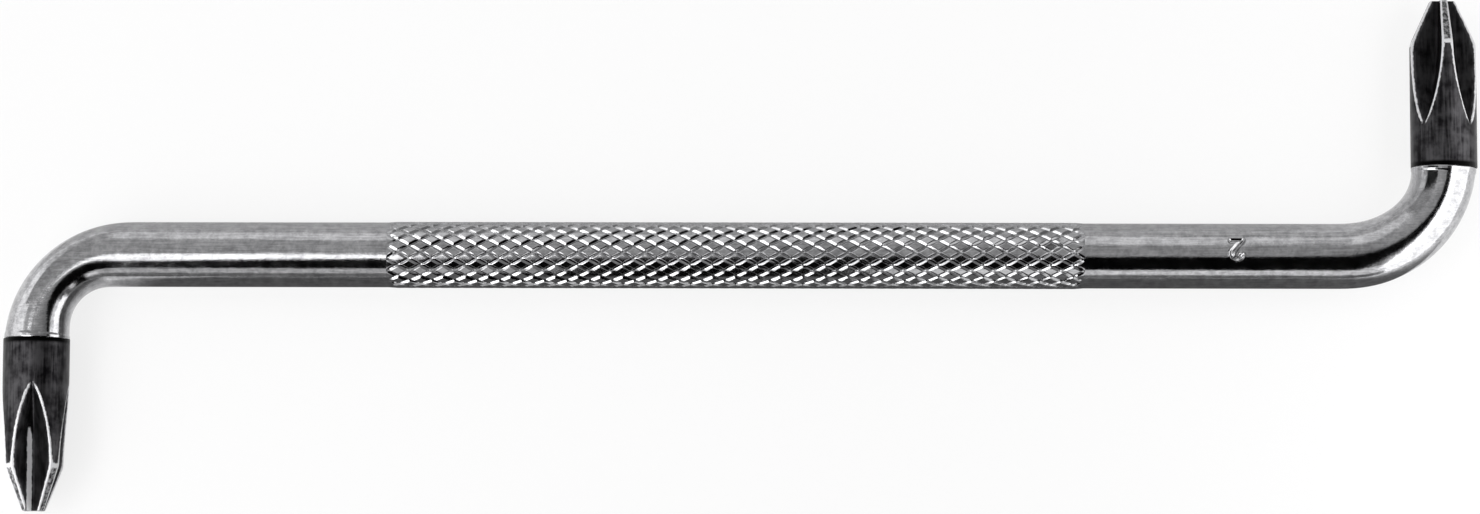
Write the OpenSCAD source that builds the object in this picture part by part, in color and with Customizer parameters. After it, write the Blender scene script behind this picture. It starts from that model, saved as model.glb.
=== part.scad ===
// Offset screwdriver: a round bar bent into a flat Z, with a cross tip on each leg.
// It lies flat on Z = 0. The bar runs along X, the left leg points to -Y and the right leg to +Y.
// The origin is midway between the legs and midway between the two nose ends.
// Sizes are in millimetres.

/* [Bar] */
// Diameter of the plain bar
bar_d = 5.88; // [5.4:0.02:7]
// Straight plain length from the knurl to the left bend
left_straight = 24.4; // [12:0.1:40]
// Straight plain length from the knurl to the right bend
right_straight = 24.8; // [12:0.1:40]

/* [Bends] */
// Radius of the left bend, on the bar's centre line
left_bend_r = 7.5; // [6:0.1:14]
// Radius of the right bend, on the bar's centre line
right_bend_r = 7.9; // [6:0.1:14]
// Straight plated length from the left bend to the left tip
left_stub = 0.2; // [0.1:0.1:20]
// Straight plated length from the right bend to the right tip
right_stub = 0.1; // [0.1:0.1:20]

/* [Knurled grip] */
// Diameter over the crests of the knurl
knurl_d = 6; // [5.6:0.02:7.4]
// Depth of the knurl's grooves
knurl_depth = 0.24; // [0.1:0.01:0.4]
// Length of one diamond along the bar
knurl_pitch = 2.03; // [1.5:0.01:3]
// Diamonds in one lengthwise row
knurl_rows = 31; // [10:1:36]
// Diamonds around the bar
knurl_around = 16; // [12:1:18]
// Share of each diamond that is flat on top
knurl_flat_share = 0.42; // [0.2:0.01:0.7]

/* [Cross tips] */
// Diameter of both tips
tip_d = 6; // [5.6:0.1:7.4]
// Length of the left tip, from the finish line to the nose end
left_tip_len = 15.6; // [13:0.1:30]
// Length of the right tip, from the finish line to the nose end
right_tip_len = 15.3; // [13:0.1:30]
// Diameter of the flat at the nose end
nose_d = 2.3; // [1.8:0.1:3]
// Length of the tapered nose
nose_len = 4; // [3:0.1:6]
// Length of the flutes, from the nose end to where they run out
flute_len = 11.3; // [9:0.1:12.5]
// Distance from the nose end to the deepest place of a flute
flute_low = 1.5; // [0.5:0.1:4]
// Distance from the tip's axis to a flute's floor, where it is deepest
flute_floor = 0.5; // [0.35:0.05:0.8]
// Width of the narrow flat along a flute's floor
flute_flat = 0.16; // [0.05:0.01:0.3]
// Angle between the two walls of a flute
flute_angle = 90; // [80:1:95]
// Turn of the left tip's flutes about its axis, where 0 has a flute on top
left_tip_turn = 0; // [0:5:90]
// Turn of the right tip's flutes about its axis
right_tip_turn = 45; // [0:5:90]

/* [Size number] */
// Height of the stamped number
number_h = 2.2; // [1:0.1:3]
// Width of the stamped number
number_w = 1.5; // [0.8:0.1:2]
// Width of the number's stroke
number_stroke = 0.3; // [0.15:0.01:0.4]
// Depth of the stamp below the bar's surface
number_depth = 0.1; // [0.05:0.01:0.2]
// Distance from the knurl to the middle of the number
number_from_knurl = 13.6; // [3:0.1:20]
// Turn of the number round the bar, from straight up towards +Y
number_roll = 7; // [-40:1:40]

/* [Spigots and sockets] */
// Diameter of the grip's two spigots
grip_spigot_d = 3.6; // [2:0.1:4.4]
// Length of the grip's two spigots
grip_spigot_len = 7; // [3:0.1:10]
// Diameter of the tips' spigots
tip_spigot_d = 2.8; // [2:0.1:3]
// Length of the tips' spigots
tip_spigot_len = 3; // [1:0.1:3.4]
// Clearance round a spigot in its socket
socket_clear = 0.02; // [0.01:0.01:0.1]
// Extra depth of a socket past its spigot
socket_extra = 0.2; // [0.05:0.05:0.5]

/* [Hidden] */
$fn = 96;

// How far a cut runs past the surface that it leaves
cut_over = 0.3;

// Radii worked out from the diameters above
bar_r = bar_d / 2;
knurl_r = knurl_d / 2;
root_r = knurl_r - knurl_depth;
tip_r = tip_d / 2;
nose_r = nose_d / 2;

// Lengths along the bar, and the reach of each leg from the bar's axis to its nose end
grip_len = knurl_pitch * knurl_rows;
span = left_bend_r + left_straight + grip_len + right_straight + right_bend_r;
left_reach = left_bend_r + left_stub + left_tip_len;
right_reach = right_bend_r + right_stub + right_tip_len;

// Places of the bar's axis, the legs and the grip's two ends
axis_y = (left_reach - right_reach) / 2;
axis_z = max(tip_r, knurl_r, bar_r);
left_leg_x = -span / 2;
right_leg_x = span / 2;
grip_x0 = left_leg_x + left_bend_r + left_straight;
grip_x1 = grip_x0 + grip_len;

// The flute cutter is a disc with a V edge, whose arc runs out at flute_len
flute_rise = tip_r - flute_floor;
flute_run = flute_len - flute_low;
cutter_r = (flute_run * flute_run + flute_rise * flute_rise) / (2 * flute_rise);
cutter_edge = flute_rise + cut_over;

// Shape of the number: the angles where the bowl's arc starts and ends, and its step
bowl_start_angle = 165;
bowl_end_angle = -38;
bowl_step_angle = 7;

// The knurl's surface is a net of diamonds, in columns half a diamond apart. Grooves cross at
// the root, and each diamond has a flat top with four corners.
step_a = 360 / knurl_around;
columns = 2 * knurl_rows;
corners = ["low", "high", "left", "right"];

function on_bar(x, a, r) = [x, r * cos(a), r * sin(a)];
function column_x(k) = k * knurl_pitch / 2;
function cross_a(k, m) = (m + (k % 2) / 2) * step_a;
function diamond_a(k, m) = (m + ((k + 1) % 2) / 2) * step_a;
function flat_point(k, m, corner) =
    let (x = column_x(k), a = diamond_a(k, m),
         dx = knurl_flat_share * knurl_pitch / 2, da = knurl_flat_share * step_a / 2)
    corner == "low" ? on_bar(x, a - da, knurl_r) :
    corner == "high" ? on_bar(x, a + da, knurl_r) :
    corner == "left" ? on_bar(x - dx, a, knurl_r) : on_bar(x + dx, a, knurl_r);

// Index of each point in the net
crossings = (columns + 1) * knurl_around;
function cross_at(k, m) = k * knurl_around + (m + knurl_around) % knurl_around;
function low_cross(k, m) = k % 2 == 0 ? cross_at(k, m) : cross_at(k, m - 1);
function high_cross(k, m) = k % 2 == 0 ? cross_at(k, m + 1) : cross_at(k, m);
function flat_at(k, m, corner) =
    crossings + len(corners) * (k * knurl_around + m) + search([corner], corners)[0];

// Two triangles for a flank of a diamond, from crossings a, b to the flat's corners c, d
function flank(a, b, c, d) = [[a, c, b], [b, c, d]];
function left_half(k, m) = concat(
    flank(cross_at(k - 1, m), low_cross(k, m), flat_at(k, m, "left"), flat_at(k, m, "low")),
    flank(high_cross(k, m), cross_at(k - 1, m), flat_at(k, m, "high"), flat_at(k, m, "left")),
    [[flat_at(k, m, "low"), flat_at(k, m, "left"), flat_at(k, m, "high")]]);
function right_half(k, m) = concat(
    flank(low_cross(k, m), cross_at(k + 1, m), flat_at(k, m, "low"), flat_at(k, m, "right")),
    flank(cross_at(k + 1, m), high_cross(k, m), flat_at(k, m, "right"), flat_at(k, m, "high")),
    [[flat_at(k, m, "low"), flat_at(k, m, "high"), flat_at(k, m, "right")]]);
function end_ring(k) = [for (m = [0 : knurl_around - 1])
    each [low_cross(k, m), flat_at(k, m, "low"), flat_at(k, m, "high")]];
function reversed(list) = [for (i = [len(list) - 1 : -1 : 0]) list[i]];

// The knurled length of the bar, along +X from 0
module knurl() {
    points = concat(
        [for (k = [0 : columns]) for (m = [0 : knurl_around - 1])
            on_bar(column_x(k), cross_a(k, m), root_r)],
        [for (k = [0 : columns]) for (m = [0 : knurl_around - 1]) for (corner = corners)
            flat_point(k, m, corner)]);
    faces = concat(
        [for (k = [1 : columns]) for (m = [0 : knurl_around - 1]) each left_half(k, m)],
        [for (k = [0 : columns - 1]) for (m = [0 : knurl_around - 1]) each right_half(k, m)],
        [end_ring(0)],
        [reversed(end_ring(columns))]);
    polyhedron(points, faces);
}

// A round bar along +X
module rod_x(d, len) {
    rotate([0, 90, 0]) cylinder(d = d, h = len);
}

// An arm in its own frame: the knurl end is at the origin, the bar runs along +X to the bend,
// and the leg turns to +Y. Each end has a socket for a spigot.
module arm(straight, bend_r, stub) {
    end_x = straight + bend_r;
    end_y = bend_r + stub;
    socket_len = tip_spigot_len + socket_extra;
    difference() {
        union() {
            rod_x(bar_d, straight);
            translate([straight, bend_r, 0]) rotate([0, 0, -90]) rotate_extrude(angle = 90)
                translate([bend_r, 0]) circle(d = bar_d);
            translate([end_x, end_y, 0]) rotate([90, 0, 0]) cylinder(d = bar_d, h = stub);
        }
        translate([-cut_over, 0, 0])
            rod_x(grip_spigot_d + 2 * socket_clear, cut_over + grip_spigot_len + socket_extra);
        translate([end_x, end_y + cut_over, 0]) rotate([90, 0, 0])
            cylinder(d = tip_spigot_d + 2 * socket_clear, h = cut_over + socket_len);
    }
}

// Outline of the number 2, upright, centred on the origin
module number_outline() {
    outer_r = number_w / 2;
    inner_r = outer_r - number_stroke;
    bowl_y = number_h / 2 - outer_r;
    foot_y = -number_h / 2;
    bowl = [for (a = [bowl_start_angle : -bowl_step_angle : bowl_end_angle]) [cos(a), sin(a)]];
    polygon(concat(
        [for (p = bowl) [p[0] * outer_r, bowl_y + p[1] * outer_r]],
        [[-outer_r + number_stroke, foot_y + number_stroke],
         [outer_r, foot_y + number_stroke],
         [outer_r, foot_y],
         [-outer_r, foot_y],
         [-outer_r, foot_y + number_stroke]],
        [for (i = [len(bowl) - 1 : -1 : 0])
            [bowl[i][0] * inner_r, bowl_y + bowl[i][1] * inner_r]]));
}

// The number's cut, of one depth all over, in a bar whose axis is X
module number_cut() {
    intersection() {
        rotate([-number_roll, 0, 0]) rotate([0, 0, 180])
            linear_extrude(bar_d) number_outline();
        translate([-number_w, 0, 0]) difference() {
            rod_x(bar_d + 2 * cut_over, 2 * number_w);
            translate([-cut_over, 0, 0])
                rod_x(bar_d - 2 * number_depth, 2 * number_w + 2 * cut_over);
        }
    }
}

// A cross tip in its own frame: the nose end is at the origin and the tip runs along +Z
module cross_tip(len) {
    half_flat = flute_flat / 2;
    half_open = half_flat + cutter_edge * tan(flute_angle / 2);
    difference() {
        rotate_extrude()
            polygon([[0, 0], [nose_r, 0], [tip_r, nose_len], [tip_r, len], [0, len]]);
        for (turn = [0 : 90 : 270])
            rotate([0, 0, turn]) translate([flute_floor + cutter_r, 0, flute_low])
                rotate([90, 0, 0]) rotate_extrude()
                    polygon([[cutter_r - cutter_edge, -half_open], [cutter_r, -half_flat],
                             [cutter_r, half_flat], [cutter_r - cutter_edge, half_open]]);
    }
    translate([0, 0, len]) cylinder(d = tip_spigot_d, h = tip_spigot_len);
}

// The knurled middle of the bar, with a spigot at each end
module knurled_grip() {
    color("#8f9294") translate([grip_x0, axis_y, axis_z]) {
        knurl();
        translate([-grip_spigot_len, 0, 0]) rod_x(grip_spigot_d, grip_len + 2 * grip_spigot_len);
    }
}

// The plated bar and bend on the left, whose leg points to -Y
module left_arm() {
    color("#b9bcbe") translate([grip_x0, axis_y, axis_z]) rotate([0, 0, 180])
        arm(left_straight, left_bend_r, left_stub);
}

// The plated bar and bend on the right, whose leg points to +Y, with the size number
module right_arm() {
    color("#b9bcbe") translate([grip_x1, axis_y, axis_z]) difference() {
        arm(right_straight, right_bend_r, right_stub);
        translate([number_from_knurl, 0, 0]) number_cut();
    }
}

// The blackened cross tip on the left leg
module left_tip() {
    color("#2e2d2d") translate([left_leg_x, axis_y - left_reach, axis_z])
        rotate([-90, 0, 0]) rotate([0, 0, 90 + left_tip_turn]) cross_tip(left_tip_len);
}

// The blackened cross tip on the right leg
module right_tip() {
    color("#2e2d2d") translate([right_leg_x, axis_y + right_reach, axis_z])
        rotate([90, 0, 0]) rotate([0, 0, 90 + right_tip_turn]) cross_tip(right_tip_len);
}

knurled_grip();
left_arm();
right_arm();
left_tip();
right_tip();
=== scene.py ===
"""Offset screwdriver: a plated round bar bent into a flat Z, with a rolled diamond knurl in the
middle and a blackened cross tip at each end.

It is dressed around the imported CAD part. Every piece is built in its own frame: a runs along the
bar towards the leg, b from the bar towards the nose, and c points up. The left half of the tool is
the right half turned half round, so the same functions make both.
"""

import math

import bmesh
import bpy
import numpy as np
from mathutils import Matrix, Vector


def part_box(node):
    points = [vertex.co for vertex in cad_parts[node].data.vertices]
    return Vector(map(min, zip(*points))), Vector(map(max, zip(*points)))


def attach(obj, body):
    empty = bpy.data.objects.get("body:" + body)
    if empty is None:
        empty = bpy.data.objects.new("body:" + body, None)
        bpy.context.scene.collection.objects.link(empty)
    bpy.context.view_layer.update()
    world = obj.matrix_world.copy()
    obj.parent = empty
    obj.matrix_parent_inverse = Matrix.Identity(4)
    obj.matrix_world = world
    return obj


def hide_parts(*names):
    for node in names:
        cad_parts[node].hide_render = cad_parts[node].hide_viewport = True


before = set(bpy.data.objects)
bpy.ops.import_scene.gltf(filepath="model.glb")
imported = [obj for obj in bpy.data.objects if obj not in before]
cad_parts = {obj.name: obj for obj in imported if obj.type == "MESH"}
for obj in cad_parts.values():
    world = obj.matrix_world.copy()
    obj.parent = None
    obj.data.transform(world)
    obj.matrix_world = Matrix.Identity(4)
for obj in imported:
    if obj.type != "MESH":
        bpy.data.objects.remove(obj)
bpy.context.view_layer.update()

MM = 0.001


# Sizes that the CAD part gives, in millimetres.


def node_box(name):
    """The lowest and highest corner of a CAD node, in millimetres."""
    low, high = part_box(name)
    return np.array(low) / MM, np.array(high) / MM


left_arm_low, left_arm_high = node_box("left_arm")
right_arm_low, right_arm_high = node_box("right_arm")
right_tip_low, right_tip_high = node_box("right_tip")

axis_z = (right_arm_low[2] + right_arm_high[2]) / 2
bar_r = (right_arm_high[2] - right_arm_low[2]) / 2
tip_r = (right_tip_high[2] - right_tip_low[2]) / 2
leg_a = right_arm_high[0] - bar_r
nose_b = right_tip_high[1]
knurl_left = left_arm_high[0]
knurl_right = right_arm_low[0]
left_shoulder_b = -left_arm_low[1]
right_shoulder_b = right_arm_high[1]

# Finer sizes, read from the photo, in millimetres and degrees.

# Points round an arm, and the steps along it.
RING_POINTS = 144
ARM_STEP = 0.2

# A bend's outer and inner sides follow quarter ellipses of these half sizes, along a and b. Its
# middle line has the radius "centre", which only spaces the rings. The sides are eased where they
# meet the bar and the leg, and the bend stands a little higher than the bar.
LEFT_BEND = {"centre": 7.5, "outer": (11.3, 11.3), "inner": (3.6, 3.6)}
RIGHT_BEND = {"centre": 7.9, "outer": (11.9, 11.9), "inner": (6.5, 4.8)}
BEND_EASE = 0.7
BEND_BULGE = 0.04

# The small lip that an arm ends in: its height, length, rise and rounded end.
ARM_LIP = 0.05
ARM_LIP_LEN = 0.5
ARM_LIP_RISE = 0.2
ARM_LIP_ROUND = 0.1
ARM_LIP_STEP = 0.03

# KNURL_GROOVE and KNURL_FLOOR are half widths, as shares of the way from groove to groove.
KNURL_ROWS = 31
KNURL_AROUND = 16
KNURL_DEPTH = 0.156
KNURL_GROOVE = 0.21
KNURL_FLOOR = 0.02
KNURL_RUN_OUT = 0.7

# A tip's cone and flutes. A flute's floor rises straight and then sweeps out.
TIP_STEP = 0.1
NOSE_R = 1.15
NOSE_LEN = 4.0
NOSE_EDGE = 0.08
CONE_EDGE = 0.06
FLUTE_START = 0.55
FLUTE_RISE = 0.055
FLUTE_STRAIGHT = 4.1
FLUTE_SWEEP_R = 16.6
FLUTE_FLAT = 0.08
FLUTE_FILLET = 0.12
WING_EDGE = 0.10
SHOULDER_EDGE = 0.07
LEFT_TIP_TURN = -3.0
RIGHT_TIP_TURN = 46.0

# The black is rubbed off along the wings' edges, over the width EDGE_WEAR. It is rubbed a little
# wider where the cone starts, and less towards the flutes' ends.
EDGE_WEAR = 0.21
EDGE_BARE = 0.84
CORNER_WEAR = 0.09
CORNER_WEAR_LEN = 0.6
NOSE_WEAR_END = 8.0
NOSE_WEAR_FADE = 4.0
FLUTE_END_BARE = 0.3
FLUTE_END_FADE = 0.7

# A bare line crosses each wing where the cone starts, and the cone is half bare. Painted shade
# makes the flutes blacker than the rest, and a line round the shoulder too.
CORNER_LINE = 0.26
CONE_WEAR = 0.46
FLUTE_SHADE = 0.6
SHOULDER_PAINTED_SHADE = 0.575
SHOULDER_PAINTED_SHADE_FADE = 0.25

# The painted highlight streak in the left tip's flute: its place beside the flute's middle,
# width and length.
STREAK_ASIDE = 0.32
STREAK_WIDTH = 0.2
STREAK_LEN = 8.0
STREAK_FADE = 1.5

# The stamped number: where its middle is, its size, and the finer mesh around it.
NUMBER_A = 44.665
NUMBER_ROLL = 7.0
NUMBER_H = 1.95
NUMBER_W = 1.15
NUMBER_STROKE = 0.26
NUMBER_DEPTH = 0.13
NUMBER_STEP = 0.04
NUMBER_ROOM_A = 1.3
NUMBER_ROOM_B = 1.6


# Colour and node helpers.


# The sockets of a Mix node go by number: first its two plain values, then its two colours.
VALUE_1, VALUE_2, MIXED_VALUE = 2, 3, 0
COLOUR_1, COLOUR_2, MIXED_COLOUR = 6, 7, 2


def colour(hex_value, alpha=1.0):
    """An sRGB hex colour such as "#c8c8ca" as linear RGBA."""
    channels = [int(hex_value[i : i + 2], 16) / 255 for i in (1, 3, 5)]
    linear = [c / 12.92 if c <= 0.04045 else ((c + 0.055) / 1.055) ** 2.4 for c in channels]
    return (*linear, alpha)


def node(tree, kind, settings=None, inputs=None):
    """Adds a node, sets its properties, and fills each input with a value or a link."""
    made = tree.nodes.new(kind)
    for name, value in (settings or {}).items():
        setattr(made, name, value)
    for key, value in (inputs or {}).items():
        if isinstance(value, bpy.types.NodeSocket):
            tree.links.new(value, made.inputs[key])
        else:
            made.inputs[key].default_value = value
    return made


def new_material(name):
    """An empty node material, its tree and its output node."""
    material = bpy.data.materials.new(name)
    material.use_nodes = True
    tree = material.node_tree
    tree.nodes.clear()
    return material, tree, node(tree, "ShaderNodeOutputMaterial")


# Mesh helpers.


def skin(name, rings):
    """A closed skin over rings of points, in millimetres, with a cap on the first and the last."""
    rings = np.asarray(rings, float)
    count, around = rings.shape[:2]
    index = np.arange(count * around).reshape(count, around)
    start = index[:-1]
    end = index[1:]
    quads = np.stack([start, np.roll(start, -1, 1), np.roll(end, -1, 1), end], -1).reshape(-1, 4)
    faces = quads.tolist()
    faces.append(index[0].tolist())
    faces.append(index[-1][::-1].tolist())
    mesh = bpy.data.meshes.new(name)
    mesh.from_pydata((rings.reshape(-1, 3) * MM).tolist(), [], faces)
    return mesh


def add_piece(name, mesh, material, cad_node, half_turn=False, crisp=0):
    """Puts a mesh built in the a, b, c frame where its CAD node is, and dresses it. Edges that
    turn by more than crisp degrees stay sharp."""
    if half_turn:
        mesh.transform(Matrix.Rotation(math.pi, 4, "Z"))
    mesh.transform(Matrix.Translation((0, 0, axis_z * MM)))
    work = bmesh.new()
    work.from_mesh(mesh)
    bmesh.ops.recalc_face_normals(work, faces=work.faces)
    work.to_mesh(mesh)
    work.free()
    mesh.polygons.foreach_set("use_smooth", [len(face.vertices) < 5 for face in mesh.polygons])
    if crisp:
        mesh.set_sharp_from_angle(angle=math.radians(crisp))
    mesh.materials.append(material)
    piece = bpy.data.objects.new(name, mesh)
    bpy.context.scene.collection.objects.link(piece)
    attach(piece, "root")
    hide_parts(cad_node)


def soft_min(first, second, blend):
    """The lower of two heights, with the corner between them rounded over blend."""
    return (first + second - np.sqrt((first - second) ** 2 + blend**2)) / 2


def soft_max(first, second, blend):
    """The higher of two heights, with the corner between them rounded over blend."""
    return (first + second + np.sqrt((first - second) ** 2 + blend**2)) / 2


# Arms: plain bar, bend and leg.


def to_side(start, way, edge_a, edge_b, round_a, round_b):
    """How far each line from start along way runs before it leaves a corner whose straight edges
    lie at edge_a and edge_b and whose round is a quarter ellipse."""
    centre = np.array([edge_a - round_a, edge_b + round_b])
    size = np.array([round_a, round_b])
    offset = (start - centre) / size
    step = way / size
    square = (step**2).sum(1)
    cross = (offset * step).sum(1)
    rest = np.maximum(cross**2 - square * ((offset**2).sum(1) - 1), 0)
    distance = (np.sqrt(rest) - cross) / square
    to_bar_edge = (edge_b - start[:, 1]) / np.minimum(way[:, 1], -1e-9)
    to_leg_edge = (edge_a - start[:, 0]) / np.maximum(way[:, 0], 1e-9)
    on_bar = start[:, 0] + way[:, 0] * to_bar_edge <= centre[0]
    on_leg = start[:, 1] + way[:, 1] * to_leg_edge >= centre[1]
    distance = np.where(on_bar, to_bar_edge, distance)
    return np.where(on_leg & ~on_bar, to_leg_edge, distance)


def arm_length(bend, begin_a, end_b):
    """The length of an arm's middle line."""
    bend_r = bend["centre"]
    return leg_a - bend_r - begin_a + bend_r * math.pi / 2 + end_b - bend_r


def arm_sides(bend, begin_a, end_b):
    """Points along the outer and the inner side of an arm, seen from above, at equal steps of its
    middle line. They run past both ends, so that easing doesn't pull the ends in."""
    past = 4.0
    spacing = 0.1
    bend_r = bend["centre"]
    turn_a = leg_a - bend_r
    bar_len = turn_a - begin_a
    arc_len = bend_r * math.pi / 2
    along = np.arange(-past, arm_length(bend, begin_a, end_b) + past, spacing)
    angle = np.clip((along - bar_len) / bend_r, 0, math.pi / 2)
    way = np.stack([np.sin(angle), -np.cos(angle)], 1)
    start = np.stack([
        turn_a + np.minimum(along - bar_len, 0),
        bend_r + np.maximum(along - bar_len - arc_len, 0),
    ], 1)
    outer = start + way * to_side(start, way, leg_a + bar_r, -bar_r, *bend["outer"])[:, None]
    inner = start + way * to_side(start, way, leg_a - bar_r, bar_r, *bend["inner"])[:, None]
    width = int(4 * BEND_EASE / spacing)
    bell = np.exp(-0.5 * (np.arange(-width, width + 1) * spacing / BEND_EASE) ** 2)
    bell /= bell.sum()
    eased = []
    for line in (outer, inner):
        padded = np.pad(line, ((width, width), (0, 0)), mode="reflect", reflect_type="odd")
        eased.append(np.stack([np.convolve(padded[:, k], bell, "valid") for k in (0, 1)], 1))
    in_bend = np.sin(2 * angle) ** 2
    return along, eased[0], eased[1], in_bend


def arm_rings(bend, begin_a, end_b, stations, angles):
    """Rings of an arm at the given lengths along it. Angle 0 is its outer side and 90 its top."""
    along, outer, inner, in_bend = arm_sides(bend, begin_a, end_b)
    at = np.clip(stations, 0, arm_length(bend, begin_a, end_b))
    outer = np.stack([np.interp(at, along, outer[:, k]) for k in (0, 1)], 1)
    inner = np.stack([np.interp(at, along, inner[:, k]) for k in (0, 1)], 1)
    height = bar_r + BEND_BULGE * np.interp(at, along, in_bend)
    middle = (outer + inner) / 2
    half = (outer - inner) / 2
    flat = middle[:, None, :] + half[:, None, :] * np.cos(angles)[None, :, None]
    up = height[:, None] * np.sin(angles)[None, :]
    return np.concatenate([flat, up[:, :, None]], 2)


def line_distance(x, y, start, end):
    """Distance of points from a straight line between two points."""
    run = np.array([end[0] - start[0], end[1] - start[1]])
    share = ((x - start[0]) * run[0] + (y - start[1]) * run[1]) / (run @ run)
    share = np.clip(share, 0, 1)
    return np.hypot(x - start[0] - share * run[0], y - start[1] - share * run[1])


def stroke_distance(a, b):
    """Distance from the middle of the number's stroke: a bowl, a slanting neck and a foot. The
    number stands upside down, as it is stamped from the other side of the tool."""
    bowl_r = (NUMBER_W - NUMBER_STROKE) / 2
    foot = (NUMBER_STROKE - NUMBER_H) / 2
    bowl_b = -foot - bowl_r
    # The angles where the bowl begins and where it meets the neck.
    begin = 165
    neck = -35
    x = -a
    y = -b
    turn = np.degrees(np.arctan2(y - bowl_b, x))
    on_bowl = (turn > neck) & (turn <= begin)
    bowl = np.abs(np.hypot(x, y - bowl_b) - bowl_r)
    begin_x = bowl_r * math.cos(math.radians(begin))
    begin_y = bowl_r * math.sin(math.radians(begin))
    begin_gap = np.hypot(x - begin_x, y - bowl_b - begin_y)
    neck_x = bowl_r * math.cos(math.radians(neck))
    neck_y = bowl_b + bowl_r * math.sin(math.radians(neck))
    lines = [
        line_distance(x, y, (neck_x, neck_y), (-bowl_r, foot)),
        line_distance(x, y, (-bowl_r, foot), (bowl_r, foot)),
    ]
    return np.minimum.reduce([np.where(on_bowl, bowl, begin_gap), begin_gap, *lines])


def stamp_number(rings, angles):
    """Presses the size number into the top of the bar, with the lip that a stamp throws up."""
    roll = math.radians(90 + NUMBER_ROLL)
    across = (angles - roll)[None, :] * bar_r + 0 * rings[:, :, 0]
    gap = stroke_distance(rings[:, :, 0] - NUMBER_A, across)
    # How far the flat floor and the sloping wall reach from the middle of the stroke.
    floor = NUMBER_STROKE * 0.1
    wall = NUMBER_STROKE * 0.8
    sunk = NUMBER_DEPTH * np.clip((wall - gap) / (wall - floor), 0, 1)
    lip = 0.25 * NUMBER_DEPTH * np.exp(-(((gap - wall * 1.2) / (0.3 * NUMBER_STROKE)) ** 2))
    near = (np.abs(across) < NUMBER_H) & (np.abs(rings[:, :, 0] - NUMBER_A) < NUMBER_H)
    scale = 1 - np.where(near, sunk - lip, 0) / bar_r
    rings[:, :, 1] *= scale
    rings[:, :, 2] *= scale
    return rings


def arm_mesh(name, bend, begin_a, end_b, number=False):
    """One arm, from the knurl to its finish line, where it ends in a small lip."""
    length = arm_length(bend, begin_a, end_b)
    stations = [
        np.arange(0, length, ARM_STEP),
        np.arange(length - ARM_LIP_LEN - 0.1, length, ARM_LIP_STEP),
        [length],
    ]
    angles = np.arange(RING_POINTS) * 2 * math.pi / RING_POINTS
    if number:
        middle = NUMBER_A - begin_a
        stations.append(np.arange(middle - NUMBER_ROOM_A, middle + NUMBER_ROOM_A, NUMBER_STEP))
        roll = math.radians(90 + NUMBER_ROLL)
        room = NUMBER_ROOM_B / bar_r
        fine = np.arange(roll - room, roll + room, NUMBER_STEP / bar_r)
        angles = np.sort(np.concatenate([angles[np.abs(angles - roll) > room], fine]))
    stations = np.unique(np.round(np.concatenate(stations), 4))
    rings = arm_rings(bend, begin_a, end_b, stations, angles)
    from_end = length - stations
    rise = np.clip((ARM_LIP_LEN - from_end) / ARM_LIP_RISE, 0, 1)
    swell = ARM_LIP * rise * np.clip(0.4 + from_end / ARM_LIP_ROUND, 0, 1)
    middle_line = rings.mean(1, keepdims=True)
    # The number's finer points would pull the middle up.
    middle_line[:, :, 2] = 0
    rings = middle_line + (rings - middle_line) * (1 + swell / bar_r)[:, None, None]
    if number:
        rings = stamp_number(rings, angles)
    return skin(name, rings)


# Cross tips. s runs along a tip from its nose end, in millimetres.


def flute_bottom(s):
    """How far a flute's bottom lies from the axis. It rises a little along the nose and then
    sweeps out on the cutter's radius."""
    slope = math.atan(FLUTE_RISE)
    centre_s = FLUTE_STRAIGHT - FLUTE_SWEEP_R * math.sin(slope)
    begin = FLUTE_START + FLUTE_RISE * FLUTE_STRAIGHT
    run = np.clip(s - centre_s, 0, FLUTE_SWEEP_R * 0.95)
    swept = begin + FLUTE_SWEEP_R * math.cos(slope) - np.sqrt(FLUTE_SWEEP_R**2 - run**2)
    return np.where(s < FLUTE_STRAIGHT, FLUTE_START + FLUTE_RISE * s, swept)


def tip_stations(length):
    """Where a tip's rings stand, and how far its rounded ends draw them in."""
    nose = NOSE_EDGE * np.array([0, 0, 0.3, 0.7, 1])
    nose_in = NOSE_EDGE * np.array([1, 1, 0.45, 0.1, 0])
    body = np.arange(2 * TIP_STEP, length - 2 * TIP_STEP, TIP_STEP)
    shoulder = length - SHOULDER_EDGE * np.array([1, 0.7, 0.4, 0.15, 0])
    shoulder_in = SHOULDER_EDGE * np.array([0, 0.1, 0.3, 0.6, 1])
    s = np.concatenate([nose, body, shoulder])
    return s, np.concatenate([nose_in, 0 * body, shoulder_in])


def tip_sector(edge, apex, s, bottom):
    """The angles of the columns in a quarter of a tip, from the middle of a wing over a flute to
    the middle of the next wing. They follow the flute's bottom and the wings' edges."""
    # Past a flute's end the columns keep some room, so that no face folds.
    least = 0.03 + 0.1 * np.clip(s - apex + 0.3, 0, 4)
    edge_drawn = np.maximum(edge, least)
    flat = np.minimum(np.arctan(FLUTE_FLAT / bottom), 0.3 * edge_drawn)
    wall_steps = 1 - (1 - np.linspace(0, 1, 21)[1:]) ** 1.5
    land_steps = np.linspace(0, 1, 13)[1:] ** 1.5
    half = np.concatenate([
        flat[:, None] * np.array([0, 0.5, 1])[None],
        flat[:, None] + (edge_drawn - flat)[:, None] * wall_steps[None],
        edge_drawn[:, None] + (math.pi / 4 - edge_drawn)[:, None] * land_steps[None],
    ], 1)
    return np.concatenate([-half[:, :0:-1], half[:, :-1]], 1)


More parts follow.
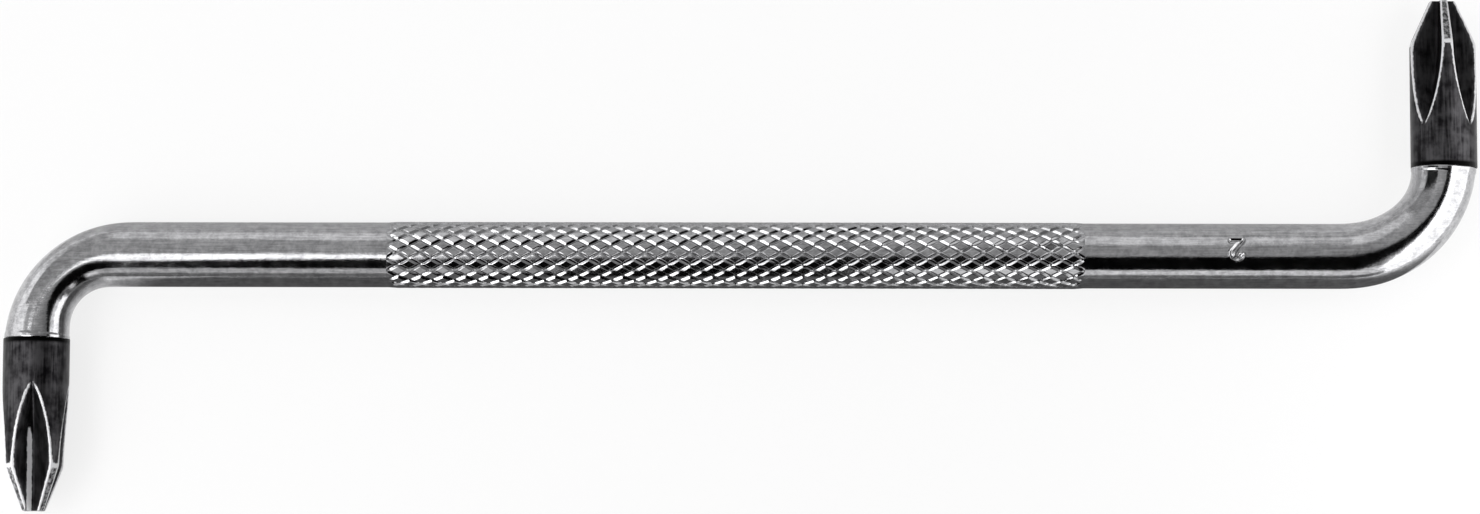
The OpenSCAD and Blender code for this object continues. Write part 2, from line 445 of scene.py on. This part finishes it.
def tip_wear_and_painted_shade(s, length, apex, on_land, from_edge):
    """How far the black of a tip is gone at each point, from 0 where it is sound to 1 where the
    steel shows through. It is below 0 where painted shade makes the black darker: in the flutes
    and in the line round the shoulder. s is a column."""
    at_corner = np.exp(-(((s - NOSE_LEN) / CORNER_WEAR_LEN) ** 2))
    width = EDGE_WEAR + CORNER_WEAR * at_corner
    from_flute_end = np.clip((apex - s) / FLUTE_END_FADE, 0, 1)
    near_nose = np.clip((NOSE_WEAR_END - s) / NOSE_WEAR_FADE, 0, 1)
    strength = EDGE_BARE + (1 - EDGE_BARE) * np.maximum(at_corner, near_nose)
    strength = strength * (FLUTE_END_BARE + (1 - FLUTE_END_BARE) * from_flute_end)
    edges = strength * np.exp(-((from_edge / width) ** 2)) * (s < apex)
    corners = np.exp(-(((s - NOSE_LEN) / CORNER_LINE) ** 2)) * on_land
    cone = CONE_WEAR * on_land * (s < NOSE_LEN)
    wear_and_painted_light = np.maximum.reduce([edges, corners, cone])
    # Painted shade: the flutes are made blacker.
    wear_and_painted_light = wear_and_painted_light - FLUTE_SHADE * ~on_land * (1 - np.clip(wear_and_painted_light / 0.2, 0, 1))
    # Painted shade: a dark line round the shoulder, where the tip meets the arm.
    shoulder = np.clip((SHOULDER_PAINTED_SHADE - length + s) / SHOULDER_PAINTED_SHADE_FADE, 0, 1) + 0 * from_edge
    return np.where(shoulder > 0, -shoulder, wear_and_painted_light)


def tip_rings(length, turn, painted_highlight):
    """Rings of a tip from its nose end to its finish line, and for each point its wear, its
    painted shade and its painted highlight.
    """
    s, inset = tip_stations(length)
    bottom = flute_bottom(s)
    outside = soft_min(NOSE_R + (tip_r - NOSE_R) * s / NOSE_LEN, tip_r + 0 * s, CONE_EDGE)
    outside = np.where(s > 2 * NOSE_LEN, tip_r, outside)
    ratio = np.clip((bottom - FLUTE_FLAT) / (outside * math.sqrt(2)), -1, 1)
    edge = np.arccos(ratio) - math.pi / 4
    apex = s[np.argmax(edge <= 0)]
    sector = tip_sector(edge, apex, s, bottom)
    size = np.abs(sector)
    floor = bottom[:, None] / np.cos(size)
    slack = np.maximum(np.cos(size) - np.sin(size), 1e-3)
    wall = np.minimum((bottom[:, None] - FLUTE_FLAT) / slack, 20.0)
    radius = soft_min(soft_max(floor, wall, FLUTE_FILLET), outside[:, None], WING_EDGE)
    radius = np.where(s[:, None] > apex + 1.5, outside[:, None], radius)
    radius = radius - inset[:, None]
    from_edge = np.hypot((size - edge[:, None]) * outside[:, None], outside[:, None] - radius)
    wear_and_painted_light = tip_wear_and_painted_shade(s[:, None], length, apex, size > edge[:, None], from_edge)
    front = wear_and_painted_light
    # A painted highlight streak along the first flute, beside its middle.
    if painted_highlight:
        aside = radius * np.sin(sector) - STREAK_ASIDE
        painted_streak = np.exp(-((aside / STREAK_WIDTH) ** 2))
        painted_streak = painted_streak * np.clip((STREAK_LEN - s) / STREAK_FADE, 0, 1)[:, None]
        front = np.where(painted_streak > 0.1, np.clip(1.5 * painted_streak, 0, 1), wear_and_painted_light)
    quarters = []
    for k in range(4):
        direction = sector + math.radians(turn + 90 * k)
        quarters.append(np.stack([
            radius * np.sin(direction),
            nose_b - s[:, None] + 0 * radius,
            radius * np.cos(direction),
        ], 2))
    rings = np.concatenate(quarters, 1)
    # The first ring lies inside the second one, flat on the nose end.
    rings[0, :, 0] *= 0.5
    rings[0, :, 2] *= 0.5
    rings[:, :, 0] += leg_a
    return rings, np.concatenate([front, wear_and_painted_light, wear_and_painted_light, wear_and_painted_light], 1)


def tip_mesh(name, shoulder_b, turn, painted_highlight=False):
    """One cross tip. Its flutes stand turn degrees from straight up, and the first one may have a
    painted highlight streak along it."""
    rings, wear_and_painted_light = tip_rings(nose_b - shoulder_b, turn, painted_highlight)
    mesh = skin(name, rings)
    # The attribute carries wear, painted shade and the painted highlight streak.
    layer = mesh.attributes.new("wear_and_painted_light", "FLOAT", "POINT")
    layer.data.foreach_set("value", wear_and_painted_light.reshape(-1).astype(np.float32))
    return mesh


# Knurled grip.


def knurl_grid(per_cell):
    """The points of the knurl's grid and its faces. A point is counted along the grooves of both
    hands, per_cell steps from groove to groove, and a full turn comes back to the same points."""
    around = 2 * KNURL_AROUND
    cells = [
        ((total + turn) // 2, (total - turn) // 2)
        for total in range(-KNURL_ROWS - 1, KNURL_ROWS + 2)
        for turn in range(around)
        if (total + turn) % 2 == 0
    ]
    corner_u = np.array([c[0] for c in cells])[:, None, None] * per_cell
    corner_v = np.array([c[1] for c in cells])[:, None, None] * per_cell
    step_u = np.arange(per_cell)[None, :, None]
    step_v = np.arange(per_cell)[None, None, :]
    corners = np.stack([
        np.stack([corner_u + step_u + du + 0 * step_v, corner_v + step_v + dv + 0 * step_u], -1)
        for du, dv in ((0, 0), (1, 0), (1, 1), (0, 1))
    ], -2).reshape(-1, 2)
    lap = np.floor_divide(corners[:, 0] - corners[:, 1], around * per_cell)
    corners[:, 0] -= lap * KNURL_AROUND * per_cell
    corners[:, 1] += lap * KNURL_AROUND * per_cell
    points, faces = np.unique(corners, axis=0, return_inverse=True)
    return points, faces.reshape(-1, 4)


def trim_knurl(mesh):
    """Cuts the knurl off square at both ends and closes them."""
    work = bmesh.new()
    work.from_mesh(mesh)
    for side, end in ((-1, knurl_left), (1, knurl_right)):
        bmesh.ops.bisect_plane(
            work,
            geom=work.verts[:] + work.edges[:] + work.faces[:],
            dist=1e-7,
            plane_co=(end * MM, 0, 0),
            plane_no=(side, 0, 0),
            clear_outer=True,
        )
        rim = [e for e in work.edges if e.is_boundary and abs(e.verts[0].co.x - end * MM) < 1e-6]
        bmesh.ops.contextual_create(work, geom=rim)
    work.to_mesh(mesh)
    work.free()


def knurl_mesh(name):
    """The rolled diamond knurl. Every mesh line runs along a groove, and the flat tops keep the
    round of the bar."""
    # Mesh lines across half a groove: its floor, one up the wall, and one on each side of its edge.
    half = np.array([KNURL_FLOOR, 0.13, KNURL_GROOVE - 0.015, KNURL_GROOVE + 0.015])
    steps = np.concatenate([[0], half, [0.5], 1 - half[::-1]])
    per_cell = len(steps)
    points, faces = knurl_grid(per_cell)
    whole = np.floor_divide(points, per_cell)
    part = steps[points - whole * per_cell]
    place = whole + part
    gap = np.minimum(part, 1 - part)
    sunk = np.clip((KNURL_GROOVE - gap) / (KNURL_GROOVE - KNURL_FLOOR), 0, 1).max(1)
    angle = (place[:, 0] - place[:, 1]) * math.pi / KNURL_AROUND
    middle = (knurl_left + knurl_right) / 2
    pitch = (knurl_right - knurl_left) / KNURL_ROWS
    along = middle + pitch * (place[:, 0] + place[:, 1]) / 2
    from_end = np.minimum(along - knurl_left, knurl_right - along)
    full = np.clip(from_end / KNURL_RUN_OUT, 0, 1)
    radius = bar_r + (tip_r - bar_r) * full - KNURL_DEPTH * full * sunk
    surface = np.stack([
        along,
        radius * np.sin(angle),
        radius * np.cos(angle),
    ], 1)
    mesh = bpy.data.meshes.new(name)
    mesh.from_pydata((surface * MM).tolist(), [], faces.tolist())
    trim_knurl(mesh)
    return mesh


# Materials.


def bright_plate(name, dull, bright, roughness, grain_across, grain_strength):
    """Nickel and chrome plate over a drawn and polished steel bar: it mirrors the room, and fine
    grain along the bar breaks the edges of what it mirrors."""
    material, tree, output = new_material(name)
    place = node(tree, "ShaderNodeTexCoord")
    stretched = node(tree, "ShaderNodeMapping", inputs={
        "Vector": place.outputs["Object"],
        "Scale": (1 / (3.0 * MM), 1 / (grain_across * MM), 1 / (grain_across * MM)),
    })
    grain = node(tree, "ShaderNodeTexNoise", inputs={
        "Vector": stretched.outputs["Vector"],
        "Scale": 1.0,
        "Detail": 4.0,
        "Roughness": 0.65,
    })
    mottle = node(tree, "ShaderNodeTexNoise", inputs={
        "Vector": place.outputs["Object"],
        "Scale": 1 / (0.9 * MM),
        "Detail": 5.0,
        "Roughness": 0.7,
    })
    haze = node(tree, "ShaderNodeMix", {"data_type": "RGBA", "blend_type": "OVERLAY"}, {
        "Factor": 0.75,
        COLOUR_1: mottle.outputs["Fac"],
        COLOUR_2: grain.outputs["Fac"],
    })
    tone = node(tree, "ShaderNodeMapRange", inputs={
        "Value": haze.outputs[MIXED_COLOUR],
        "From Min": 0.3,
        "From Max": 0.7,
    })
    paint = node(tree, "ShaderNodeMix", {"data_type": "RGBA"}, {
        "Factor": tone.outputs["Result"],
        COLOUR_1: colour(dull),
        COLOUR_2: colour(bright),
    })
    rough = node(tree, "ShaderNodeMapRange", inputs={
        "Value": mottle.outputs["Fac"],
        "From Min": 0.3,
        "From Max": 0.7,
        "To Min": roughness * 0.7,
        "To Max": roughness * 1.4,
    })
    grain_bump = node(tree, "ShaderNodeBump", inputs={
        "Strength": grain_strength,
        "Distance": 0.01 * MM,
        "Height": grain.outputs["Fac"],
    })
    bump = node(tree, "ShaderNodeBump", inputs={
        "Strength": grain_strength,
        "Distance": 0.02 * MM,
        "Height": mottle.outputs["Fac"],
        "Normal": grain_bump.outputs["Normal"],
    })
    surface = node(tree, "ShaderNodeBsdfPrincipled", inputs={
        "Base Color": paint.outputs[MIXED_COLOUR],
        "Metallic": 1.0,
        "Roughness": rough.outputs["Result"],
        "Normal": bump.outputs["Normal"],
    })
    tree.links.new(surface.outputs["BSDF"], output.inputs["Surface"])
    return material


def black_oxide():
    """Black oxide on milled and hardened steel: nearly black and half matt, with fine marks along
    the blade and soft blotches. Painted shade makes it blacker in the flutes and round the
    shoulder. The black is gone to pale, dull steel along the wings' edges and on the cone, and a
    painted highlight streak of the same pale steel runs along one flute."""
    material, tree, output = new_material("black_oxide_steel")
    place = node(tree, "ShaderNodeTexCoord")
    stretched = node(tree, "ShaderNodeMapping", inputs={
        "Vector": place.outputs["Object"],
        "Scale": (1 / (0.25 * MM), 1 / (4.0 * MM), 1 / (0.25 * MM)),
    })
    marks = node(tree, "ShaderNodeTexNoise", inputs={
        "Vector": stretched.outputs["Vector"],
        "Scale": 1.0,
        "Detail": 5.0,
        "Roughness": 0.6,
    })
    specks = node(tree, "ShaderNodeTexNoise", inputs={
        "Vector": place.outputs["Object"],
        "Scale": 1 / (0.35 * MM),
        "Detail": 4.0,
        "Roughness": 0.6,
    })
    wear_and_painted_light = node(tree, "ShaderNodeAttribute", {"attribute_name": "wear_and_painted_light"})
    ragged = node(tree, "ShaderNodeMath", {"operation": "MULTIPLY_ADD"}, {
        0: specks.outputs["Fac"],
        1: 0.9,
        2: -0.45,
    })
    # Wear with ragged edges, and the painted highlight streak.
    rubbed_and_painted_highlight = node(tree, "ShaderNodeMath", {"operation": "ADD"}, {
        0: wear_and_painted_light.outputs["Fac"],
        1: ragged.outputs["Value"],
    })
    bare_and_painted_highlight = node(tree, "ShaderNodeMapRange", {"interpolation_type": "SMOOTHSTEP"}, {
        "Value": rubbed_and_painted_highlight.outputs["Value"],
        "From Min": 0.35,
        "From Max": 0.75,
    })
    patches = node(tree, "ShaderNodeTexNoise", inputs={
        "Vector": place.outputs["Object"],
        "Scale": 1 / (1.3 * MM),
        "Detail": 3.0,
        "Roughness": 0.55,
    })
    blotched = node(tree, "ShaderNodeMix", {"data_type": "RGBA", "blend_type": "OVERLAY"}, {
        "Factor": 1.0,
        COLOUR_1: patches.outputs["Fac"],
        COLOUR_2: marks.outputs["Fac"],
    })
    tone = node(tree, "ShaderNodeMapRange", inputs={
        "Value": blotched.outputs[MIXED_COLOUR],
        "From Min": 0.3,
        "From Max": 0.7,
    })
    black = node(tree, "ShaderNodeMix", {"data_type": "RGBA"}, {
        "Factor": tone.outputs["Result"],
        COLOUR_1: colour("#171618"),
        COLOUR_2: colour("#4c4b4d"),
    })
    # Painted shade: near black in the flutes and in the line round the shoulder.
    outside_painted_shade = node(tree, "ShaderNodeMapRange", inputs={
        "Value": wear_and_painted_light.outputs["Fac"],
        "From Min": -0.9,
        "From Max": -0.1,
    })
    oxide = node(tree, "ShaderNodeMix", {"data_type": "RGBA"}, {
        "Factor": outside_painted_shade.outputs["Result"],
        COLOUR_1: colour("#060606"),
        COLOUR_2: black.outputs[MIXED_COLOUR],
    })
    # Pale, dull steel where the black is gone, and in the painted highlight streak.
    paint = node(tree, "ShaderNodeMix", {"data_type": "RGBA"}, {
        "Factor": bare_and_painted_highlight.outputs["Result"],
        COLOUR_1: oxide.outputs[MIXED_COLOUR],
        COLOUR_2: colour("#d6d6d8"),
    })
    oxide_rough = node(tree, "ShaderNodeMapRange", inputs={
        "Value": marks.outputs["Fac"],
        "From Min": 0.3,
        "From Max": 0.7,
        "To Min": 0.34,
        "To Max": 0.5,
    })
    rough = node(tree, "ShaderNodeMix", {"data_type": "FLOAT"}, {
        "Factor": bare_and_painted_highlight.outputs["Result"],
        VALUE_1: oxide_rough.outputs["Result"],
        VALUE_2: 0.6,
    })
    metallic = node(tree, "ShaderNodeMix", {"data_type": "FLOAT"}, {
        "Factor": bare_and_painted_highlight.outputs["Result"],
        VALUE_1: 1.0,
        VALUE_2: 0.4,
    })
    bump = node(tree, "ShaderNodeBump", inputs={
        "Strength": 0.5,
        "Distance": 0.02 * MM,
        "Height": marks.outputs["Fac"],
    })
    surface = node(tree, "ShaderNodeBsdfPrincipled", inputs={
        "Base Color": paint.outputs[MIXED_COLOUR],
        "Metallic": metallic.outputs[MIXED_VALUE],
        "Roughness": rough.outputs[MIXED_VALUE],
        "Normal": bump.outputs["Normal"],
    })
    tree.links.new(surface.outputs["BSDF"], output.inputs["Surface"])
    return material


# Plate on the drawn bar: bright and grained along the bar.
plated_bar = bright_plate(
    "bright_plated_bar", "#98989a", "#c8c8ca",
    roughness=0.10, grain_across=0.17, grain_strength=0.5,
)
# Plate on the rolled knurl: as bright, with a fainter grain, so its small walls flash.
knurled_plate = bright_plate(
    "bright_plated_knurl", "#9c9c9e", "#c4c4c6",
    roughness=0.10, grain_across=0.16, grain_strength=0.2,
)
# Black oxide on the tips: dark, half matt, pale where the steel shows, with painted shade in the
# flutes and a painted highlight streak.
black_tip = black_oxide()


# The five pieces.


add_piece(
    "left_bar_and_leg",
    arm_mesh("left_bar_and_leg", LEFT_BEND, -knurl_left, left_shoulder_b),
    plated_bar, "left_arm", half_turn=True, crisp=40,
)
add_piece(
    "right_bar_and_leg",
    arm_mesh("right_bar_and_leg", RIGHT_BEND, knurl_right, right_shoulder_b, number=True),
    plated_bar, "right_arm", crisp=40,
)
add_piece(
    "left_cross_tip",
    tip_mesh("left_cross_tip", left_shoulder_b, LEFT_TIP_TURN, painted_highlight=True),
    black_tip, "left_tip", half_turn=True,
)
add_piece(
    "right_cross_tip",
    tip_mesh("right_cross_tip", right_shoulder_b, RIGHT_TIP_TURN),
    black_tip, "right_tip",
)
add_piece(
    "diamond_knurl",
    knurl_mesh("diamond_knurl"),
    knurled_plate, "knurled_grip", crisp=18,
)


# Studio. The tool lies on a white table, and cards out of the camera's sight stand around and
# above it. Bright plate shows little but what it mirrors, so the cards make its bands.

TABLE_HALF = 3000
FELT_Z = 0.8


def at_x(x, outline):
    """Corners of an upright sheet across the X axis, from an outline in y and z."""
    return [(x, y, z) for y, z in outline]


def at_y(y, outline):
    """Corners of an upright sheet across the Y axis, from an outline in x and z."""
    return [(x, y, z) for x, z in outline]


def at_z(z, outline):
    """Corners of a level sheet, from an outline in x and y."""
    return [(x, y, z) for x, y in outline]


def sheet(name, corners, material):
    """A flat sheet of the studio. Its corners are in millimetres."""
    mesh = bpy.data.meshes.new(name)
    points = [tuple(v * MM for v in corner) for corner in corners]
    mesh.from_pydata(points, [], [range(len(points))])
    mesh.materials.append(material)
    made = bpy.data.objects.new(name, mesh)
    bpy.context.scene.collection.objects.link(made)
    return made


def table_top():
    """A plain white table top, wide enough for every view. The camera and the mirrors see it lit
    evenly, with the tool's soft shadow on it."""
    material, tree, output = new_material("white_table_laminate")
    matt = node(tree, "ShaderNodeBsdfDiffuse", inputs={"Color": colour("#f4f4f4")})
    path = node(tree, "ShaderNodeLightPath")
    seen_or_mirrored = node(tree, "ShaderNodeMath", {"operation": "MAXIMUM"}, {
        0: path.outputs["Is Camera Ray"],
        1: path.outputs["Is Glossy Ray"],
    })
    seen = node(tree, "ShaderNodeMath", {"operation": "MAXIMUM"}, {
        0: seen_or_mirrored.outputs["Value"],
        1: path.outputs["Is Transmission Ray"],
    })
    share = node(tree, "ShaderNodeMath", {"operation": "MULTIPLY"}, {
        0: seen.outputs["Value"],
        1: 0.8,
    })
    glow = node(tree, "ShaderNodeEmission", inputs={"Color": (1, 1, 1, 1), "Strength": 1.0})
    both = node(tree, "ShaderNodeMixShader", inputs={
        "Fac": share.outputs["Value"],
        1: matt.outputs["BSDF"],
        2: glow.outputs["Emission"],
    })
    tree.links.new(both.outputs["Shader"], output.inputs["Surface"])
    half = TABLE_HALF
    sheet("table_top", at_z(0, [(-half, -half), (half, -half), (half, half), (-half, half)]), material)


def room_light():
    """The soft light of a pale room, brighter towards the left and dimmer towards the right."""
    world = bpy.data.worlds.new("pale_room")
    bpy.context.scene.world = world
    world.use_nodes = True
    tree = world.node_tree
    tree.nodes.clear()
    output = node(tree, "ShaderNodeOutputWorld")
    place = node(tree, "ShaderNodeTexCoord")
    axes = node(tree, "ShaderNodeSeparateXYZ", inputs={"Vector": place.outputs["Generated"]})
    level = node(tree, "ShaderNodeMapRange", inputs={
        "Value": axes.outputs["X"],
        "From Min": -1.0,
        "From Max": 1.0,
        "To Min": 0.85,
        "To Max": 0.1,
    })
    light = node(tree, "ShaderNodeBackground", inputs={
        "Color": (1, 1, 1, 1),
        "Strength": level.outputs["Result"],
    })
    tree.links.new(light.outputs["Background"], output.inputs["Surface"])


def card(name, corners, strength):
    """A studio card out of the camera's sight. It glows with strength, or is black where that is
    0."""
    material, tree, output = new_material(name)
    if strength > 0:
        face = node(tree, "ShaderNodeEmission", inputs={"Strength": strength})
    else:
        face = node(tree, "ShaderNodeBsdfDiffuse", inputs={"Color": colour("#050505")})
    tree.links.new(face.outputs[0], output.inputs["Surface"])
    made = sheet(name, corners, material)
    made.visible_camera = False
    return made


def mirror_card(name, corners, strength):
    """A card close to the tool that only its bright surfaces mirror. It casts no shadow and
    lights nothing else."""
    made = card(name, corners, strength)
    made.visible_shadow = False
    made.visible_diffuse = False


def felt(name, outline, shade, left_end, right_end):
    """A strip of felt that lies on the table beside the bar, so that the bar's side mirrors it in
    place of the white top, as it does in the photo. It is out of the camera's sight and casts no
    shadow. Each end runs in x from where the felt is gone to where it is full."""
    material, tree, output = new_material(name)
    cloth = node(tree, "ShaderNodeBsdfDiffuse", inputs={"Color": colour(shade)})
    clear = node(tree, "ShaderNodeBsdfTransparent")
    place = node(tree, "ShaderNodeTexCoord")
    axes = node(tree, "ShaderNodeSeparateXYZ", inputs={"Vector": place.outputs["Object"]})
    ends = [
        node(tree, "ShaderNodeMapRange", {"interpolation_type": "SMOOTHSTEP"}, {
            "Value": axes.outputs["X"],
            "From Min": gone * MM,
            "From Max": full * MM,
        })
        for gone, full in (left_end, right_end)
    ]
    thick = node(tree, "ShaderNodeMath", {"operation": "MULTIPLY"}, {
        0: ends[0].outputs["Result"],
        1: ends[1].outputs["Result"],
    })
    both = node(tree, "ShaderNodeMixShader", inputs={
        "Fac": thick.outputs["Value"],
        1: clear.outputs["BSDF"],
        2: cloth.outputs["BSDF"],
    })
    tree.links.new(both.outputs["Shader"], output.inputs["Surface"])
    made = sheet(name, at_z(FELT_Z, outline), material)
    made.visible_camera = False
    made.visible_shadow = False
    made.visible_diffuse = False


table_top()
room_light()

# The white line and the black band along the middle of the bar: a light high above the tool, and
# a black lid under it that hides the rest of the room.
card("overhead_strip", at_z(600, [
    (-165, -90), (-141, -50), (-131, -12), (-112, -10), (-103, -40), (-84, -76), (-15, -76),
    (-15, -120), (-80, -150), (-125, -275), (-170, -345),
]), 2.6)
card("black_lid", at_z(150, [
    (-100, -112), (-80, -85), (-70, -66), (-50, -52), (43, -21), (66, -18), (74, -8), (80, 30),
    (84, 34), (118, 30), (118, -235), (-100, -205),
]), 0)

# The white and grey bands down the right leg and round its bend.
card("right_diffuser", at_x(128, [(35, 0), (35, 75), (-150, 75), (-150, 0)]), 2.3)
card("right_upper_card", at_x(128, [(-10, 75), (-10, 135), (-110, 135), (-110, 75)]), 1.2)
card("right_leaning_card", at_z(45, [
    (80, 30), (104, 30), (104, -95), (95, -95), (80, -20),
]), 3.0)
card("far_right_light", at_x(300, [(-20, 120), (70, 120), (70, 255), (-20, 255)]), 1.8)

# The white and grey bands down the left leg and round its bend, from the table upwards.
card("left_diffuser", at_x(-150, [(-60, 0), (72, 0), (72, 113), (35, 92), (-60, 92)]), 1.5)
card("left_back_diffuser", at_x(-150, [(72, 0), (115, 0), (115, 72), (72, 72)]), 0.85)
card("left_back_screen", at_x(-150, [
    (72, 72), (115, 72), (115, 128), (90, 128), (72, 113),
]), 0.4)
card("left_high_card", at_x(-150, [(-110, 165), (8, 165), (8, 340), (-110, 340)]), 3.2)
card("left_high_screen", at_x(-150, [(8, 165), (45, 165), (45, 340), (8, 340)]), 0.95)

# The white flashes on the walls of the knurl's grooves: lights far off at the left.
card("left_front_light", at_x(-300, [
    (-440, 170), (-120, 170), (-15, 0), (-15, 390), (-110, 620), (-440, 620),
]), 4.5)
card("left_corner_light", [
    (-300, -430, 200), (-190, -430, 200), (-190, -430, 620), (-300, -430, 620),
], 4.5)
card("left_back_light", at_x(-300, [
    (110, 300), (215, 270), (215, 480), (190, 620), (110, 620),
]), 4.5)
card("left_far_light", at_x(-300, [(215, 270), (430, 300), (430, 620), (215, 620)]), 2.2)

# The broad grey band along the top of the bar, with a lighter streak in it.
card("back_wall", at_y(352, [(-150, 0), (300, 0), (300, 190), (-150, 60)]), 0.65)
card("back_streak", at_y(350, [(-150, 45), (110, 170), (110, 560), (-150, 235)]), 1.0)

# The light line under the black band, and the dark grey below it.
card("front_light", at_y(-420, [(-20, 90), (300, 80), (300, 320), (-20, 325)]), 1.1)
card("left_front_strip", at_y(-420, [(-300, 100), (-20, 90), (-20, 325), (-300, 330)]), 0.7)
card("front_wall", at_y(-200, [(-92, 0), (128, 0), (128, 45), (-92, 62)]), 0.22)

# The dark line down the inner side of the left bend.
card("left_bend_flag", at_y(-110, [(-24, 14), (14, 14), (14, 80), (-24, 80)]), 0)

# Cards close to the tool, each mirrored by one leg or bend alone: they keep the far lights off the
# right leg and off both bends, and they light the inner side of the left leg near its tip.
mirror_card("right_leg_flag", at_x(30, [(12, 19), (28, 19), (28, 72), (12, 72)]), 0)
mirror_card("right_bend_screen", at_x(30, [(28, 15), (52, 10), (52, 80), (28, 72)]), 0.4)
mirror_card("left_leg_card", at_x(-58, [(-24, 0), (-8.5, 0), (-8.5, 3), (-24, 3)]), 1.0)
mirror_card("left_bend_screen", at_x(-80, [(1, 14), (50, 14), (50, 70), (1, 70)]), 0.45)

# A light mirrored in the left tip's flute, over its painted highlight streak.
tip_light = card("left_tip_light", at_z(11, [
    (-66.0, -23.5), (-64.8, -23.5), (-64.8, -16), (-66.0, -16),
]), 9.0)
tip_light.visible_shadow = False

# The dark grey along the bar's front side, and the paler grey along its back.
felt(
    "felt_in_front", [(-62, -2.4), (85, -2.4), (85, -110), (-62, -110)], "#6a6a6a",
    left_end=(-61, -53), right_end=(76, 60),
)
felt(
    "felt_behind", [(-80, 3.2), (66, 3.2), (66, 110), (-80, 110)], "#d2d2d2",
    left_end=(-78, -62), right_end=(62, 49),
)


# Camera, fitted to the photo's outline. Its focal length and the picture's width are in the
# photo's pixels, its turns about its own axes in degrees, and its shift in millimetres.

FOCAL_PX = 4500.0
PICTURE_PX = 1480.0
CAMERA_YAW = -0.87
CAMERA_PITCH = -5.74
CAMERA_ROLL = -0.18
CAMERA_SHIFT = (0.01, 0.14, -407.9)


def photo_camera():
    """The camera that took the picture: nearly straight above the tool, a little towards its
    front."""
    turn = (
        Matrix.Rotation(math.radians(CAMERA_ROLL), 4, "Z")
        @ Matrix.Rotation(math.radians(CAMERA_PITCH), 4, "X")
        @ Matrix.Rotation(math.radians(CAMERA_YAW), 4, "Y")
    )
    seen = Matrix.Translation(Vector(CAMERA_SHIFT) * MM) @ turn
    data = bpy.data.cameras.new("photo_camera")
    data.sensor_width = 36.0
    data.lens = FOCAL_PX / PICTURE_PX * data.sensor_width
    data.clip_start = 0.01
    data.clip_end = 20.0
    camera = bpy.data.objects.new("photo_camera", data)
    bpy.context.scene.collection.objects.link(camera)
    camera.matrix_world = Matrix.Translation((0, 0, axis_z * MM)) @ seen.inverted()
    bpy.context.scene.camera = camera


photo_camera()

bpy.context.scene.view_settings.view_transform = "Standard"
